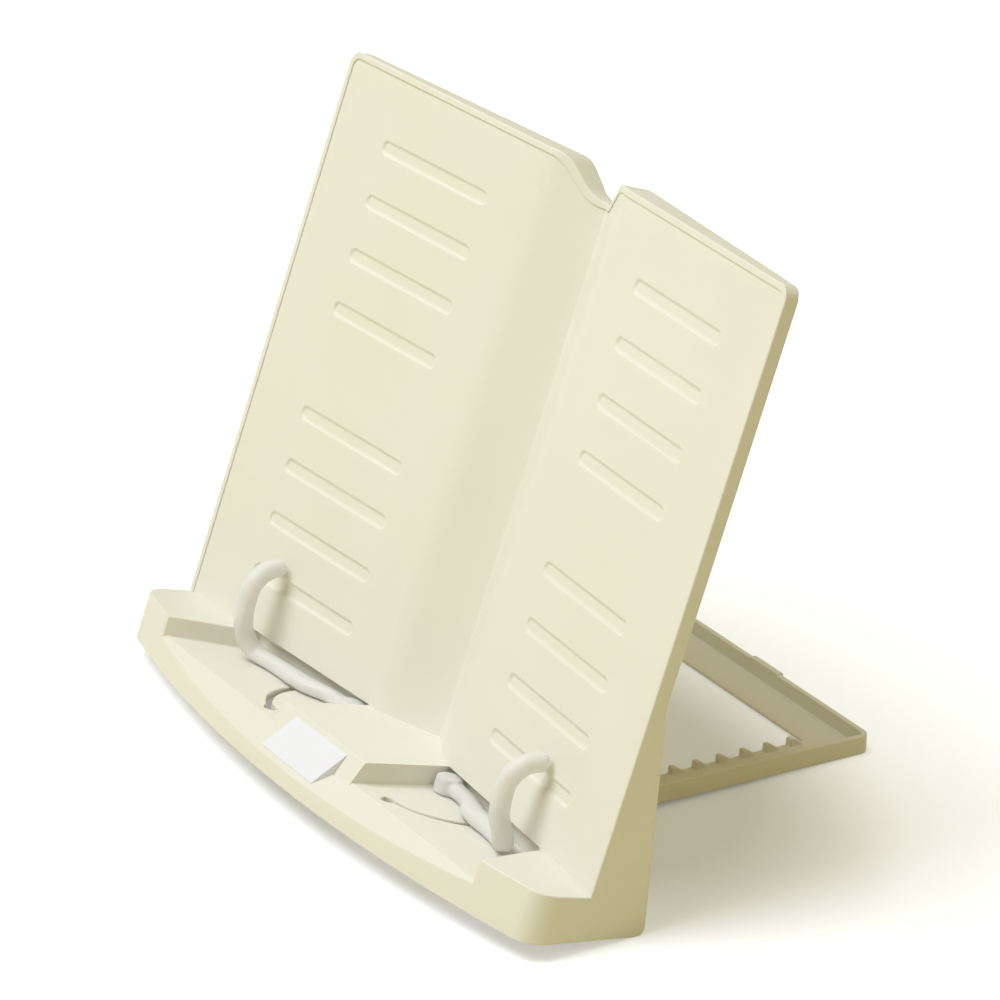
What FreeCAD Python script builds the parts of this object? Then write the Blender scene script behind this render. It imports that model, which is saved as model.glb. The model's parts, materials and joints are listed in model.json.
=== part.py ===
"""Folding book stand: a moulded reading panel with a ledge, two page clips, a toothed rear frame
and a stay that props the panel on it.

The panel, its ledge and everything fixed to them are drawn in the panel's own axes: x to the
reader's right, y away from the reader, z up along the panel, with the origin on the line where
the panel meets the ledge. The whole panel then leans back by the tilt.
"""
import FreeCAD, Part
import math
import os
import Sketcher

doc = FreeCAD.newDocument("book_stand")

# Driving sizes in millimetres and degrees.
SIZES = {
    # pose on the table
    "tilt": 20.0,
    "foot_height": 13.79,
    "foot_setback": -46.37,
    # reading panel
    "half_width": 135.0,
    "panel_height": 198.8,
    "panel_corner": 5.0,
    "wing_rise": 12.2,
    "valley_half": 21.7,
    "valley_depth": 12.2,
    "knee_round": 25.0,
    "skin": 2.6,
    "rim_depth": 5.2,
    "rim_wall": 2.6,
    "top_depth": 12.0,
    "top_end_depth": 7.2,
    "step_margin": 2.2,
    "step_depth": 0.5,
    "notch_top": 16.5,
    "notch_bottom": 4.8,
    "notch_depth": 10.4,
    "notch_round": 10.0,
    # debossed grooves
    "groove_inner": 49.0,
    "groove_outer": 103.4,
    "groove_width": 5.2,
    "groove_depth": 0.8,
    "groove_top": 173.0,
    "groove_pitch": 19.2,
    "groove_bank": 95.5,
    # ledge
    "ledge_dip": 4.0,
    "ledge_reach": 45.2,
    "ledge_bow": 15.6,
    "ledge_corner": 9.0,
    "ledge_wall": 2.6,
    "bottom_slope": 10.0,
    "heel_back": 12.6,
    "heel_drop": 10.8,
    "heel_round": 3.0,
    "base_break": 14.0,
    "foot_kink": 64.0,
    "kink_round": 15.0,
    "foot_edge": 0.9,
    "foot_lid": 2.4,
    "pocket_depth": 7.2,
    "pocket_inner": 27.0,
    "pocket_outer": 96.5,
    "pocket_splay": 9.0,
    "pocket_undercut": 4.5,
    "nose_reach": 34.0,
    "nose_slope": 30.0,
    "brow_reach": 32.0,
    "brow_slope": 62.0,
    # clip guides in the pocket floor
    "clip_pivot_side": 33.0,
    "clip_pivot_reach": 2.0,
    "clip_angle": 8.8,
    "clip_swing": 66.0,
    "guide_radius": 27.3,
    "guide_width": 2.4,
    "guide_entry": 5.0,
    # page clips
    "clip_end_room": 5.0,
    "clip_thick": 5.0,
    "clip_boss": 4.8,
    "clip_pad": 5.0,
    "clip_rod": 6.8,
    "clip_lead": 1.0,
    "clip_heading": 35.0,
    "clip_bend": 17.0,
    "clip_rise": 5.2,
    "clip_curl": 10.5,
    "clip_tip": 9.8,
    "clip_lift": 0.3,
    "stub_diameter": 5.0,
    "stub_gap": 0.1,
    "peg_diameter": 2.0,
    "washer_diameter": 9.0,
    "washer_thick": 1.0,
    "washer_gap": 0.2,
    "screw_shank": 2.4,
    "screw_depth": 5.0,
    "screw_head": 6.4,
    "screw_head_high": 2.2,
    "fixed_gap": 0.02,
    # hinge of the rear frame
    "axle_back": 10.0,
    "axle_drop": 4.5,
    "pin_diameter": 3.0,
    "pin_play": 0.1,
    "eye_radius": 4.2,
    "gusset_top": 46.0,
    "gusset_wall": 2.8,
    # rear frame
    "frame_half": 62.9,
    "frame_length": 134.1,
    "frame_arm": 17.0,
    "frame_bar": 16.2,
    "frame_web": 1.1,
    "frame_rim": 6.6,
    "frame_rim_wall": 2.0,
    "frame_corner": 4.0,
    "frame_gap": 0.7,
    "knuckle_radius": 3.5,
    "knuckle_width": 7.6,
    "arm_start": 8.5,
    "tooth_high": 2.7,
    "tooth_wide": 3.0,
    "tooth_tip": 1.5,
    "tooth_run": 4.4,
    "tooth_pitch": 9.3,
    "tooth_count": 7.0,
    "tooth_last": 112.0,
    "catch_half": 8.5,
    "catch_high": 0.5,
    # stay behind the panel
    "stay_back": 20.0,
    "stay_height": 80.0,
    "seat_gap": 0.2,
    "stay_top_half": 11.0,
    "stay_foot_half": 44.0,
    "stay_leg": 9.0,
    "stay_thick": 4.0,
    "stay_barrel": 4.2,
    "stay_bar": 2.0,
    "stay_bar_half": 49.8,
    "stay_lug": 3.0,
    "stay_lug_eye": 4.6,
    "stay_lug_root": 14.0,
    "stay_shoulder": 8.0,
    "stay_window_top": 16.0,
    "stay_window_round": 4.0,
    "stay_foot_high": 14.0,
    "stay_gap": 0.5,
    # blank label
    "label_half": 17.0,
    "label_thick": 0.25,
    "label_climb": 0.8,
    "label_edge": 2.2,
}

dims = doc.addObject("Spreadsheet::Sheet", "dims")
for row, (alias, value) in enumerate(SIZES.items(), 1):
    dims.set(f"A{row}", str(value))
    dims.setAlias(f"A{row}", alias)
doc.recompute()


class Size:
    """A length or angle that knows both its number and the cells it comes from."""

    def __init__(self, value, text=None):
        self.value = float(value)
        self.text = text if text else f"{float(value):.6f}"

    def join(self, sign, other, value):
        return Size(value, f"({self.text} {sign} {other.text})")

    def __add__(self, other):
        other = as_size(other)
        return self.join("+", other, self.value + other.value)

    def __sub__(self, other):
        other = as_size(other)
        return self.join("-", other, self.value - other.value)

    def __mul__(self, other):
        other = as_size(other)
        return self.join("*", other, self.value * other.value)

    def __truediv__(self, other):
        other = as_size(other)
        return self.join("/", other, self.value / other.value)

    def __neg__(self):
        return Size(-self.value, f"(0 - {self.text})")

    __radd__ = __add__
    __rmul__ = __mul__

    def __rsub__(self, other):
        return as_size(other) - self


def as_size(number):
    return number if isinstance(number, Size) else Size(number)


def size(alias):
    return Size(SIZES[alias], f"dims.{alias}")


def tan_of(angle):
    return Size(math.tan(math.radians(angle.value)), f"tan({angle.text} * 1 deg)")


def cos_of(angle):
    return Size(math.cos(math.radians(angle.value)), f"cos({angle.text} * 1 deg)")


def sin_of(angle):
    return Size(math.sin(math.radians(angle.value)), f"sin({angle.text} * 1 deg)")


def sqrt_of(number):
    return Size(math.sqrt(number.value), f"sqrt({number.text})")


def bind(item, **properties):
    """Bind properties to sizes; a double underscore in a name stands for a dot."""
    for name, amount in properties.items():
        item.setExpression(name.replace("__", "."), as_size(amount).text)
    return item


PLANES = {
    "XY": FreeCAD.Rotation(),
    "XZ": FreeCAD.Rotation(FreeCAD.Vector(1, 0, 0), 90),
    "YZ": FreeCAD.Rotation(0.5, 0.5, 0.5, 0.5),
}


def corner_arc(before, at, after, radius):
    """Tangent points and centre of a rounded corner."""
    here = FreeCAD.Vector(*at, 0)
    to_before = (FreeCAD.Vector(*before, 0) - here).normalize()
    to_after = (FreeCAD.Vector(*after, 0) - here).normalize()
    half = to_before.getAngle(to_after) / 2
    reach = radius / math.tan(half)
    middle = (to_before + to_after).normalize()
    return here + to_before * reach, here + to_after * reach, here + middle * (radius / math.sin(half))


def pin_point(sketch, geometry, end, point):
    """Hold one sketch point at its two driving coordinates."""
    for kind, amount in zip(("DistanceX", "DistanceY"), point):
        amount = as_size(amount)
        index = sketch.addConstraint(Sketcher.Constraint(kind, -1, 1, geometry, end, amount.value))
        sketch.setExpression(f"Constraints[{index}]", amount.text)


def draw(sketch, corners):
    """Closed outline of straight edges; a third entry in a corner rounds it."""
    count = len(corners)
    flat = [tuple(as_size(c).value for c in corner[:2]) for corner in corners]
    arcs = {}
    for i, corner in enumerate(corners):
        if len(corner) > 2:
            arcs[i] = corner_arc(flat[i - 1], flat[i], flat[(i + 1) % count], as_size(corner[2]).value)
    leave = [arcs[i][1] if i in arcs else FreeCAD.Vector(*flat[i], 0) for i in range(count)]
    reach = [arcs[i][0] if i in arcs else FreeCAD.Vector(*flat[i], 0) for i in range(count)]
    first = sketch.GeometryCount
    for i in range(count):
        sketch.addGeometry(Part.LineSegment(leave[i], reach[(i + 1) % count]), False)
    for i, corner in enumerate(corners):
        line_in = first + (i - 1) % count
        line_out = first + i
        if i not in arcs:
            sketch.addConstraint(Sketcher.Constraint("Coincident", line_in, 2, line_out, 1))
            pin_point(sketch, line_out, 1, corner)
            continue
        start, end, centre = arcs[i]
        angle_a = math.atan2(start.y - centre.y, start.x - centre.x)
        angle_b = math.atan2(end.y - centre.y, end.x - centre.x)
        turns_left = (angle_b - angle_a) % (2 * math.pi) < math.pi
        span = (angle_a, angle_b) if turns_left else (angle_b, angle_a)
        ring = Part.Circle(centre, FreeCAD.Vector(0, 0, 1), as_size(corner[2]).value)
        arc = sketch.addGeometry(Part.ArcOfCircle(ring, *span), False)
        tip = sketch.addGeometry(Part.Point(FreeCAD.Vector(*flat[i], 0)), True)
        near, far = (1, 2) if turns_left else (2, 1)
        pin_point(sketch, tip, 1, corner[:2])
        sketch.addConstraint(Sketcher.Constraint("Tangent", line_in, 2, arc, near))
        sketch.addConstraint(Sketcher.Constraint("Tangent", arc, far, line_out, 1))
        sketch.addConstraint(Sketcher.Constraint("PointOnObject", tip, 1, line_in))
        sketch.addConstraint(Sketcher.Constraint("PointOnObject", tip, 1, line_out))
        index = sketch.addConstraint(Sketcher.Constraint("Radius", arc, as_size(corner[2]).value))
        sketch.setExpression(f"Constraints[{index}]", as_size(corner[2]).text)
    return sketch


def sketch_on(name, plane, offset=None):
    """Free sketch parallel to a main plane, moved along that plane's normal."""
    sketch = doc.addObject("Sketcher::SketchObject", name)
    sketch.Placement = FreeCAD.Placement(FreeCAD.Vector(), PLANES[plane])
    if offset is not None:
        axis = {"XY": "z", "XZ": "y", "YZ": "x"}[plane]
        sketch.setExpression(f"Placement.Base.{axis}", as_size(offset).text)
    return sketch


def extrude(name, sketch, ahead, behind=None):
    """Solid of a closed sketch, run ahead along its normal and behind it."""
    solid = doc.addObject("Part::Extrusion", name)
    solid.Base = sketch
    solid.DirMode = "Normal"
    solid.Solid = True
    bind(solid, LengthFwd=ahead)
    if behind is not None:
        bind(solid, LengthRev=behind)
    return solid


def prism(name, plane, corners, ahead, behind=None, offset=None):
    return extrude(name, draw(sketch_on(f"{name}_outline", plane, offset), corners), ahead, behind)


def common(name, *solids):
    result = doc.addObject("Part::MultiCommon", name)
    result.Shapes = list(solids)
    return result


def fuse(name, *solids):
    result = doc.addObject("Part::MultiFuse", name)
    result.Shapes = list(solids)
    return result


def cut(name, base, tool):
    result = doc.addObject("Part::Cut", name)
    result.Base = base
    result.Tool = tool
    return result


def mirrored(name, solid):
    """Copy of a solid on the other side of the panel's middle."""
    result = doc.addObject("Part::Mirroring", name)
    result.Source = solid
    result.Base = FreeCAD.Vector()
    result.Normal = FreeCAD.Vector(1, 0, 0)
    return result


def rod(name, radius, start, length, across, up):
    """Round bar along x from start, with its axis at (across, up)."""
    bar = doc.addObject("Part::Cylinder", name)
    bar.Placement = FreeCAD.Placement(FreeCAD.Vector(), FreeCAD.Rotation(FreeCAD.Vector(0, 1, 0), 90))
    return bind(bar, Radius=radius, Height=length, Placement__Base__x=start, Placement__Base__y=across,
                Placement__Base__z=up)


def post(name, radius, height, side, across, bottom):
    """Upright round bar."""
    bar = doc.addObject("Part::Cylinder", name)
    return bind(bar, Radius=radius, Height=height, Placement__Base__x=side, Placement__Base__y=across,
                Placement__Base__z=bottom)


def block(name, low, high):
    """Box between two corners."""
    box = doc.addObject("Part::Box", name)
    spans = [as_size(b) - as_size(a) for a, b in zip(low, high)]
    return bind(box, Length=spans[0], Width=spans[1], Height=spans[2], Placement__Base__x=low[0],
                Placement__Base__y=low[1], Placement__Base__z=low[2])


FAR = 300.0
half = size("half_width")
rise = size("wing_rise")
vee = size("valley_half")
deep = size("valley_depth")
tall = size("panel_height")
skin = size("skin")
wall = size("ledge_wall")
dip = tan_of(size("ledge_dip"))
wing_slope = rise / (half - vee)


def wing_at(side):
    """Depth of the wing's front face at a distance from the middle."""
    return -((side - vee) * wing_slope)


def top_at(depth):
    """Height of the ledge's top at a depth."""
    return (depth + rise) * dip


def bottom_at(depth):
    """Height of the base's underside at a depth, in front of the heel."""
    return -size("heel_drop") + (depth - size("heel_back")) * tan_of(size("bottom_slope"))


def band(name, front, back, high=None):
    """Upright sheet that follows the folded panel between two depths behind its front face."""
    spread = half + 5
    corners = []
    for shift, sides in ((front, (-1, 1)), (back, (1, -1))):
        shift = as_size(shift)
        edge = [(side * spread, wing_at(spread) + shift) for side in sides]
        knee = [(side * vee, shift, size("knee_round") - shift) for side in sides]
        corners += [edge[0], knee[0], (0.0, deep + shift), knee[1], edge[1]]
    return prism(name, "XY", corners, high if high else tall + 5, 60.0)


def panel_outline(name, inset):
    """Front view of the panel with its notch, drawn in by an inset and run through in depth."""
    inset = as_size(inset)
    top = tall - inset
    side = half - inset
    dip_top = size("notch_top") + inset
    dip_bottom = size("notch_bottom") + inset * 0.5
    floor = tall - size("notch_depth") - inset
    soft = size("notch_round")
    round_top = size("panel_corner") - inset * 0.8
    corners = [(-side, -FAR), (side, -FAR), (side, top, round_top), (dip_top, top, soft),
               (dip_bottom, floor, soft), (-dip_bottom, floor, soft), (-dip_top, top, soft),
               (-side, top, round_top)]
    return prism(name, "XZ", corners, FAR, FAR)


# Reading panel: a folded skin with a deep rim all round it and round the notch.
outline = panel_outline("panel_edge", 0.0)
skin_sheet = common("panel_skin", band("skin_band", 0.0, skin), outline)
rim_ring = cut("rim_ring", outline, panel_outline("rim_inside", size("rim_wall")))
side_rim = common("side_rim", band("rim_band", 0.0, size("rim_depth")), rim_ring)

# The top wall is deeper than the side walls, most of all next to the notch.
inside = half - size("rim_wall")
top_back = [(inside, wing_at(inside) + size("top_end_depth")), (vee, size("top_depth")),
            (0.0, deep + size("rim_depth"))]
top_plan = prism("top_wall_plan", "XY", [
    (-inside, wing_at(inside)), (-vee, 0.0, size("knee_round")), (0.0, deep), (vee, 0.0, size("knee_round")),
    (inside, wing_at(inside)), *top_back, *[(-x, y) for x, y in top_back[1::-1]]], tall * 2, 0.0)
top_wall = common("top_wall", top_plan, rim_ring,
                  block("top_wall_zone", (-FAR, -FAR, tall - size("notch_depth") * 2), (FAR, FAR, tall * 2)))
rim = fuse("panel_rim", side_rim, top_wall)
foot_edge = size("foot_edge")
above_ledge = block("above_ledge", (-FAR, -FAR, 0.0), (FAR, FAR, tall + 20))
panel = common("panel_above", fuse("panel_raw", skin_sheet, rim), above_ledge)

# Lid behind the panel's foot that closes the space above the undercut of the clip pockets.
under = size("pocket_undercut")
lid = common("foot_lid_strip", band("lid_band", skin * 0.5, under + wall),
             block("lid_slab", (0 - half + 1, -FAR, foot_edge), (half - 1, FAR, foot_edge + size("foot_lid"))))

# Side plates: the panel's edges run down and flare into the feet that stand on the table.
kink = size("foot_kink")
heel = (size("heel_back"), -size("heel_drop"), size("heel_round"))
plate_front = -size("ledge_reach") + size("ledge_bow") + 8
plate_face = 0.3 - rise
side_plate = prism("side_plate", "YZ", [
    (plate_face, tall - 12), (plate_face, top_at(plate_face)), (plate_front, top_at(plate_front)),
    (plate_front, bottom_at(plate_front)), heel, (-rise + size("rim_depth"), kink, size("kink_round")),
    (-rise + size("rim_depth"), tall - 12)], size("rim_wall"), offset=half - size("rim_wall"))


def ledge_plan(name, inset, back):
    """Plan of the ledge between its bowed front and a line that follows the panel's fold."""
    inset = as_size(inset)
    side = half - inset
    bow = size("ledge_bow")
    radius = (half * half + bow * bow) / (2 * bow) - inset
    centre_y = radius + inset - size("ledge_reach")
    soft = size("ledge_corner") - inset
    sketch = sketch_on(f"{name}_outline", "XY")
    r, cy, s, c = radius.value, centre_y.value, side.value, soft.value
    tip_y = cy - math.sqrt((r - c) ** 2 - (s - c) ** 2)
    lean = math.atan2(tip_y - cy, s - c)
    knees = [(side, wing_at(side) + back), (vee, as_size(back)), (0.0, deep + back),
             (-vee, as_size(back)), (-side, wing_at(side) + back)]
    flat = [FreeCAD.Vector(as_size(a).value, as_size(b).value, 0) for a, b in knees]
    up = FreeCAD.Vector(0, 0, 1)
    right = sketch.addGeometry(Part.LineSegment(FreeCAD.Vector(s, tip_y, 0), flat[0]), False)
    backs = [sketch.addGeometry(Part.LineSegment(a, b), False) for a, b in zip(flat, flat[1:])]
    left = sketch.addGeometry(Part.LineSegment(flat[-1], FreeCAD.Vector(-s, tip_y, 0)), False)
    ring = Part.Circle(FreeCAD.Vector(-s + c, tip_y, 0), up, c)
    soft_left = sketch.addGeometry(Part.ArcOfCircle(ring, -math.pi, -math.pi - lean), False)
    ring = Part.Circle(FreeCAD.Vector(0, cy, 0), up, r)
    front = sketch.addGeometry(Part.ArcOfCircle(ring, -math.pi - lean, lean), False)
    ring = Part.Circle(FreeCAD.Vector(s - c, tip_y, 0), up, c)
    soft_right = sketch.addGeometry(Part.ArcOfCircle(ring, lean, 0), False)
    chain = [right, *backs, left]
    for a, b in zip(chain, chain[1:]):
        sketch.addConstraint(Sketcher.Constraint("Coincident", a, 2, b, 1))
    for line, point in zip(backs + [left], knees):
        pin_point(sketch, line, 1, point)
    sketch.addConstraint(Sketcher.Constraint("Vertical", right))
    sketch.addConstraint(Sketcher.Constraint("Vertical", left))
    for a, end_a, b, end_b in ((left, 2, soft_left, 1), (soft_left, 2, front, 1),
                               (front, 2, soft_right, 1), (soft_right, 2, right, 1)):
        sketch.addConstraint(Sketcher.Constraint("Tangent", a, end_a, b, end_b))
    for arc, amount in ((soft_left, soft), (front, radius), (soft_right, soft)):
        index = sketch.addConstraint(Sketcher.Constraint("Radius", arc, amount.value))
        sketch.setExpression(f"Constraints[{index}]", amount.text)
    pin_point(sketch, front, 3, (0.0, centre_y))
    return extrude(name, sketch, 20.0, 60.0)


def ledge_side(name, top_drop, lift):
    """Side view of the base between its top and its underside, run across its whole width."""
    front, back = -1.5 * size("ledge_reach"), 3 * size("heel_back")
    heel_y = size("heel_back") - size("base_break")
    climb = tan_of(size("tilt"))
    corners = [(front, top_at(front) - top_drop), (front, bottom_at(front) + lift),
               (heel_y, bottom_at(heel_y) + lift), (back, bottom_at(heel_y) + lift + (back - heel_y) * climb),
               (back, top_at(back) - top_drop)]
    return prism(name, "YZ", corners, FAR, FAR)


# Base under the ledge: a hollow moulding, open below.
outer_base = common("base_outer", ledge_plan("base_plan", 0.0, under + wall), ledge_side("base_side", 0.0, 0.0))
hollow = common("base_hollow", ledge_plan("hollow_plan", wall, under), ledge_side("hollow_side", wall, -20.0))


def nose_at(depth):
    """Height of the sloping nose along the ledge's front."""
    start = -size("nose_reach")
    return top_at(start) - size("pocket_depth") + (depth - start) * tan_of(size("nose_slope"))


def pocket(name, grow, floor_drop):
    """Clip pocket on the right: a floor below the ledge's top, undercut at the panel's foot."""
    grow = as_size(grow)
    inner = size("pocket_inner") - grow
    outer = size("pocket_outer") + grow
    splay = size("pocket_splay")
    at_back = under + grow
    far_front = -1.5 * size("ledge_reach")
    plan = prism(f"{name}_plan", "XY", [
        (inner, far_front), (outer + splay * 2.2, far_front), (outer + splay, -size("nose_reach")),
        (outer, wing_at(outer)), (outer, wing_at(outer) + at_back), (inner, wing_at(inner) + at_back)],
        30.0, 60.0)
    start = -size("nose_reach")
    drop = size("pocket_depth") + floor_drop
    back = 2.5 * size("heel_back")
    side = prism(f"{name}_side", "YZ", [
        (back, top_at(back) - drop), (back, foot_edge), (far_front, foot_edge),
        (far_front, nose_at(far_front) - floor_drop), (start, top_at(start) - drop)], FAR, FAR)
    return common(name, plan, side)


pocket_hole = pocket("pocket_hole", 0.0, 0.0)
pocket_tray = pocket("pocket_tray", wall, wall)
brow = -size("brow_reach")
brow_foot = brow - size("pocket_depth") / tan_of(size("brow_slope"))
over = size("pocket_depth")
far_out = -1.5 * size("ledge_reach")
front_slope = prism("front_slope", "YZ", [
    (brow, top_at(brow)), (brow, over), (far_out, over), (far_out, nose_at(far_out)),
    (brow_foot, nose_at(brow_foot))], size("pocket_inner") + 0.5, size("pocket_inner") + 0.5)
slope_under = prism("slope_under", "YZ", [
    (brow + wall, top_at(brow)), (brow + wall, over), (far_out, over),
    (far_out, nose_at(far_out) - wall * 1.2), (brow_foot + wall, nose_at(brow_foot) - wall * 1.2)],
    size("pocket_inner") + 0.5, size("pocket_inner") + 0.5)
trays = fuse("trays", pocket_tray, mirrored("pocket_tray_left", pocket_tray), slope_under)
base_shell = cut("base_shell", outer_base, cut("base_void", hollow, trays))
holes = fuse("pocket_holes", pocket_hole, mirrored("pocket_hole_left", pocket_hole), front_slope)

# Gussets behind the base carry the rear frame's pins.
axle = (size("axle_back"), -size("axle_drop"))
frame_half = size("frame_half")
knuckle = size("knuckle_width")
gap = size("frame_gap")
gusset_wall = size("gusset_wall")
eye = size("eye_radius")
outer_gusset = frame_half + gap
inner_gusset = frame_half - knuckle - gap - gusset_wall


def gusset(name, side):
    """Triangular rib from the panel's back down to a pin eye."""
    web = prism(f"{name}_web", "YZ", [
        (wing_at(side) + skin * 0.4, size("gusset_top")), (wing_at(side) + skin * 0.4, axle[1] - eye * 0.4),
        (axle[0], axle[1] - eye * 0.8), (axle[0] + eye * 0.8, axle[1] + eye * 0.4),
        (wing_at(side) + skin + 2, size("gusset_top"))], gusset_wall, offset=side)
    ring = rod(f"{name}_eye", eye, side, gusset_wall, axle[0], axle[1])
    return fuse(name, web, ring)


gussets = fuse("gussets", gusset("gusset_out", outer_gusset), gusset("gusset_in", inner_gusset))
pin_radius = size("pin_diameter") / 2
pin_bore = rod("pin_bore", pin_radius + size("fixed_gap"), inner_gusset - 1, FAR / 3, axle[0], axle[1])

# Lugs on the back of the fold carry the stay.
stay_y = size("stay_back")
stay_z = size("stay_height")
lug_in = size("stay_top_half") + size("stay_gap")
lug_eye = size("stay_lug_eye")
lug_root = size("stay_lug_root")
lug_foot = deep - deep * (lug_in / vee) + skin * 0.2
lug = fuse("stay_lug_right",
           prism("stay_lug_web", "YZ", [(lug_foot, stay_z + lug_root), (lug_foot, stay_z - lug_root),
                                        (stay_y, stay_z - lug_eye), (stay_y, stay_z + lug_eye)],
                 size("stay_lug"), offset=lug_in),
           rod("stay_lug_eye", lug_eye, lug_in, size("stay_lug"), stay_y, stay_z))
stay_bore = rod("stay_bore", pin_radius + size("fixed_gap"), -FAR / 3, 2 * FAR / 3, stay_y, stay_z)
right_side = fuse("right_side", side_plate, cut("gussets_bored", gussets, pin_bore), lug)

# Shallow step inside the rim, and the grooves pressed into the wings.
step = common("front_step", band("step_band", -4.0, size("step_depth")),
              panel_outline("step_edge", size("step_margin")), above_ledge)
groove_sketch = doc.addObject("Sketcher::SketchObject", "groove_outline")
groove_r = size("groove_width") / 2
groove_rows = [size("groove_top") - bank * size("groove_bank") - row * size("groove_pitch")
               for bank in range(2) for row in range(4)]
for height in groove_rows:
    ends = [FreeCAD.Vector(size(a).value, height.value, 0) for a in ("groove_inner", "groove_outer")]
    reach = FreeCAD.Vector(0, groove_r.value, 0)
    upper = groove_sketch.addGeometry(Part.LineSegment(ends[0] + reach, ends[1] + reach), False)
    lower = groove_sketch.addGeometry(Part.LineSegment(ends[1] - reach, ends[0] - reach), False)
    up = FreeCAD.Vector(0, 0, 1)
    near = groove_sketch.addGeometry(
        Part.ArcOfCircle(Part.Circle(ends[0], up, groove_r.value), math.pi / 2, 1.5 * math.pi), False)
    far = groove_sketch.addGeometry(
        Part.ArcOfCircle(Part.Circle(ends[1], up, groove_r.value), -math.pi / 2, math.pi / 2), False)
    for a, end_a, b, end_b in ((upper, 1, near, 1), (near, 2, lower, 2), (lower, 1, far, 1), (far, 2, upper, 2)):
        groove_sketch.addConstraint(Sketcher.Constraint("Tangent", a, end_a, b, end_b))
    pin_point(groove_sketch, near, 3, (size("groove_inner"), height))
    pin_point(groove_sketch, far, 3, (size("groove_outer"), height))
    index = groove_sketch.addConstraint(Sketcher.Constraint("Radius", near, groove_r.value))
    groove_sketch.setExpression(f"Constraints[{index}]", groove_r.text)
wing_turn = FreeCAD.Rotation(FreeCAD.Vector(0, 0, 1), -math.degrees(math.atan(wing_slope.value)))
groove_sketch.Placement = FreeCAD.Placement(FreeCAD.Vector(), wing_turn.multiply(PLANES["XZ"]))
bind(groove_sketch, Placement__Base__y=vee * wing_slope)
grooves = extrude("grooves", groove_sketch, 6.0, size("groove_depth") + size("step_depth"))

# Curved guide slots and pivot holes, drawn about the clip's pivot and set square to the pocket floor.
pivot_x = size("clip_pivot_side")
pivot_y = -size("clip_pivot_reach")
pivot_z = top_at(pivot_y) - size("pocket_depth")
floor_turn = FreeCAD.Rotation(FreeCAD.Vector(1, 0, 0), SIZES["ledge_dip"])
guide = sketch_on("guide_outline", "XY")
slot_r = size("guide_width") / 2
mid_r = size("guide_radius")
start_angle = size("clip_angle") - 3
end_angle = size("clip_angle") + size("clip_swing")


def on_arc(radius, angle):
    """Point on an arc about the clip's pivot, the angle turning towards the reader."""
    return radius * cos_of(angle), -(radius * sin_of(angle))


pivot = FreeCAD.Vector()
up = FreeCAD.Vector(0, 0, 1)
a0, a1 = -math.radians(end_angle.value), -math.radians(start_angle.value)
ring_out = guide.addGeometry(Part.ArcOfCircle(Part.Circle(pivot, up, (mid_r + slot_r).value), a0, a1), False)
ring_in = guide.addGeometry(Part.ArcOfCircle(Part.Circle(pivot, up, (mid_r - slot_r).value), a0, a1), False)
caps = []
for end, angle in ((1, end_angle), (2, start_angle)):
    centre = on_arc(mid_r, angle)
    turn = -math.radians(angle.value)
    circle = Part.Circle(FreeCAD.Vector(centre[0].value, centre[1].value, 0), up, slot_r.value)
    span = (turn - math.pi, turn) if end == 1 else (turn, turn + math.pi)
    caps.append(guide.addGeometry(Part.ArcOfCircle(circle, *span), False))
    pin_point(guide, caps[-1], 3, centre)
for a, end_a, b, end_b in ((caps[0], 2, ring_out, 1), (ring_out, 2, caps[1], 1), (caps[1], 2, ring_in, 2),
                           (ring_in, 1, caps[0], 1)):
    guide.addConstraint(Sketcher.Constraint("Tangent", a, end_a, b, end_b))
guide.addConstraint(Sketcher.Constraint("Coincident", ring_out, 3, -1, 1))
index = guide.addConstraint(Sketcher.Constraint("Radius", caps[0], slot_r.value))
guide.setExpression(f"Constraints[{index}]", slot_r.text)
entry = on_arc(mid_r, end_angle)
floor_holes = fuse(
    "floor_holes", extrude("guide_slot", guide, 4.0, 10.0),
    post("guide_entry_hole", size("guide_entry") / 2, 14.0, entry[0], entry[1], -10.0),
    post("pivot_hole", size("stub_diameter") / 2 + size("stub_gap"), 14.0, 0.0, 0.0, -10.0))
floor_holes.Placement = FreeCAD.Placement(FreeCAD.Vector(), floor_turn)
bind(floor_holes, Placement__Base__x=pivot_x, Placement__Base__y=pivot_y, Placement__Base__z=pivot_z)

right_cuts = fuse("right_cuts", grooves, floor_holes)
shell_raw = fuse("shell_raw", panel, lid, base_shell, right_side, mirrored("left_side", right_side))

# Small flats under the heels, level with the table when the panel leans at its tilt.
tilt = size("tilt")
table_cut = doc.addObject("Part::Box", "table_cut")
table_cut.Placement = FreeCAD.Placement(FreeCAD.Vector(), FreeCAD.Rotation(FreeCAD.Vector(1, 0, 0), SIZES["tilt"]))
table_deep = 30.0
bind(table_cut, Length=2 * FAR, Width=2 * FAR, Height=table_deep, Placement__Base__x=-FAR,
     Placement__Base__y=table_deep * sin_of(tilt) - FAR * cos_of(tilt),
     Placement__Base__z=-(size("foot_height") / cos_of(tilt)) - FAR * sin_of(tilt) - table_deep * cos_of(tilt))

shell_cuts = fuse("shell_cuts", holes, step, right_cuts, mirrored("left_cuts", right_cuts), stay_bore, table_cut)
body_shell = cut("body_shell", shell_raw, shell_cuts)

PANEL_TURN = FreeCAD.Rotation(FreeCAD.Vector(1, 0, 0), -SIZES["tilt"])


def lean(item, x=0.0, y=0.0, z=0.0, turn=None):
    """Stand a piece drawn in the panel's axes at its place on the leaning panel."""
    tilt = size("tilt")
    y, z = as_size(y), as_size(z)
    item.Placement = FreeCAD.Placement(FreeCAD.Vector(), PANEL_TURN.multiply(turn) if turn else PANEL_TURN)
    return bind(item, Placement__Base__x=x,
                Placement__Base__y=size("foot_setback") + y * cos_of(tilt) + z * sin_of(tilt),
                Placement__Base__z=size("foot_height") - y * sin_of(tilt) + z * cos_of(tilt))


lean(body_shell)

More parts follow.
